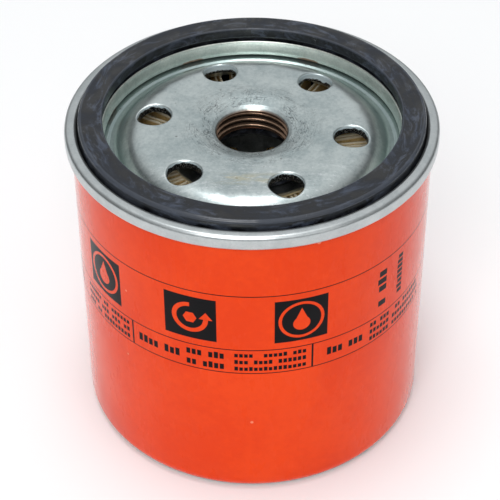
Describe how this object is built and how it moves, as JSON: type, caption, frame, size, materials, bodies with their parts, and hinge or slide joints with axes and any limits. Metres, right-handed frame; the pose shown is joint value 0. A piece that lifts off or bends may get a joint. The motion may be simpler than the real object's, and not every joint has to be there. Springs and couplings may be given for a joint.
{
  "type": "spin-on engine filter",
  "caption": "Spin-on fuel or oil filter: a seamed steel can with a face gasket, a threaded base plate with inlet holes, and a spring-held pleated element.",
  "frame": {"origin": "centre of the can's bottom, on the resting plane", "axes": "+Z along the filter's axis, out of the threaded end; +X lies between inlet holes, 11 degrees from one of them"},
  "size_m": [0.076, 0.076, 0.0725],
  "materials": {
    "can_shell": "gloss orange-red paint",
    "seaming_lid": "zinc-plated, satin",
    "seam_compound": "matte",
    "base_plate": "zinc-plated, satin, light scuffs",
    "sealing_gasket": "satin black",
    "support_spring": "bright spring wire",
    "pleated_media": "resin-treated filter paper",
    "media_seam_clip": "tinplate",
    "center_tube": "tinplate",
    "upper_adhesive_ring": "cured adhesive",
    "upper_end_ring": "tinplate",
    "hub_seal": "satin black",
    "lower_adhesive_disc": "cured adhesive",
    "lower_end_cap": "tinplate",
    "spring_cup": "tinplate"
  },
  "bodies": {
    "housing": {"can_shell": "can_shell", "seaming_lid": "seaming_lid", "seam_compound": "seam_compound", "base_plate": "base_plate", "sealing_gasket": "sealing_gasket", "support_spring": "support_spring"},
    "element": {"pleated_media": "pleated_media", "media_seam_clip": "media_seam_clip", "center_tube": "center_tube", "upper_adhesive_ring": "upper_adhesive_ring", "upper_end_ring": "upper_end_ring", "hub_seal": "hub_seal", "lower_adhesive_disc": "lower_adhesive_disc", "lower_end_cap": "lower_end_cap", "spring_cup": "spring_cup"}
  },
  "joints": [
    {"name": "element_float", "type": "slide", "parent": "housing", "child": "element", "axis": [0, 0, 1], "range_m": [-0.002, 0], "stiffness_N_per_m": 3000, "springref_m": 0.004, "deforming": ["support_spring"]}
  ]
}
